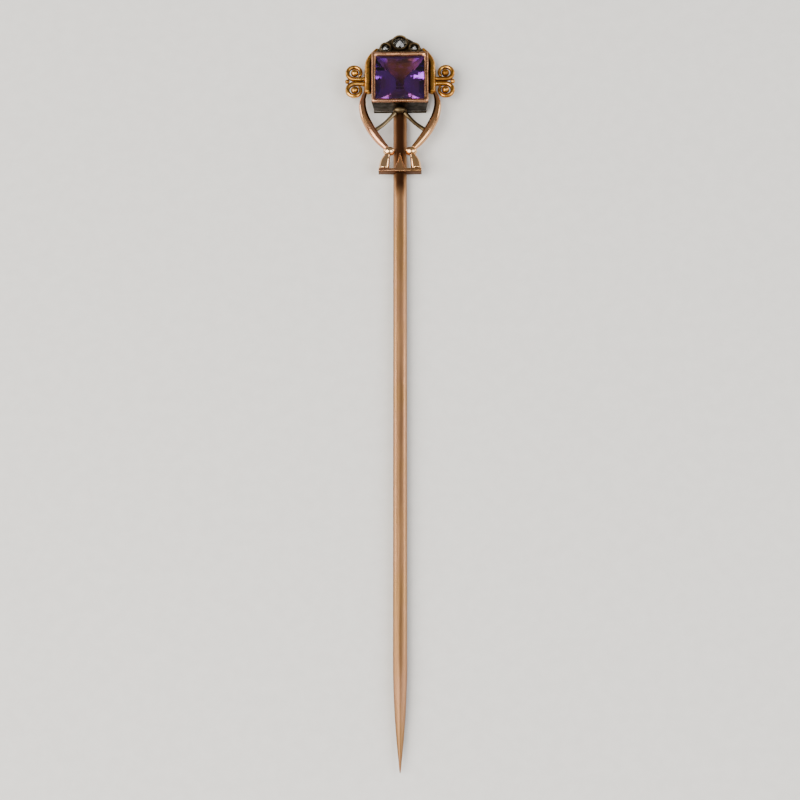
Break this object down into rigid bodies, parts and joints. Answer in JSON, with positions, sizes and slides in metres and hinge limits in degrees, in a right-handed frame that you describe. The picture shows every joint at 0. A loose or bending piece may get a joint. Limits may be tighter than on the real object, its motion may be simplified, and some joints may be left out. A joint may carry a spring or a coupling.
{
  "type": "stick pin",
  "caption": "Long gold stick pin with a square violet step-cut stone in a dark collet, a small dark crest set with white stones, side scrolls and a forked mount.",
  "frame": {"origin": "centre of the head's flat back, under the square stone", "axes": "+Z out of the stone's table, +Y along the pin from its point to the crest, +X to the right of someone who looks down on the stone with the crest at the top"},
  "size_m": [0.009, 0.063, 0.0026],
  "materials": {
    "rose_gold": "worn polish",
    "yellow_gold": "worn polish",
    "dark_silver": "tarnished",
    "amethyst": "polished facets",
    "rose_cut_diamond": "polished facets"
  },
  "bodies": {
    "root": {"pin_stem": "rose_gold", "bezel_rim": "rose_gold", "saddle_plate": "rose_gold", "saddle_dart": "rose_gold", "left_arm": "rose_gold", "left_foot": "rose_gold", "left_waist_bead": "rose_gold", "right_arm": "rose_gold", "right_foot": "rose_gold", "right_waist_bead": "rose_gold", "left_side_rail": "yellow_gold", "left_upper_scroll": "yellow_gold", "left_lower_scroll": "yellow_gold", "left_upper_grain": "yellow_gold", "left_lower_grain": "yellow_gold", "left_notch_grain": "yellow_gold", "right_side_rail": "yellow_gold", "right_upper_scroll": "yellow_gold", "right_lower_scroll": "yellow_gold", "right_upper_grain": "yellow_gold", "right_lower_grain": "yellow_gold", "right_notch_grain": "yellow_gold", "collet": "dark_silver", "back_plate": "rose_gold", "crest_plate": "dark_silver", "strut_boss": "dark_silver", "crest_centre_setting": "dark_silver", "crest_left_setting": "dark_silver", "crest_right_setting": "dark_silver", "left_strut": "dark_silver", "right_strut": "dark_silver", "amethyst": "amethyst", "crest_centre_stone": "rose_cut_diamond", "crest_left_stone": "rose_cut_diamond", "crest_right_stone": "rose_cut_diamond"}
  },
  "joints": []
}
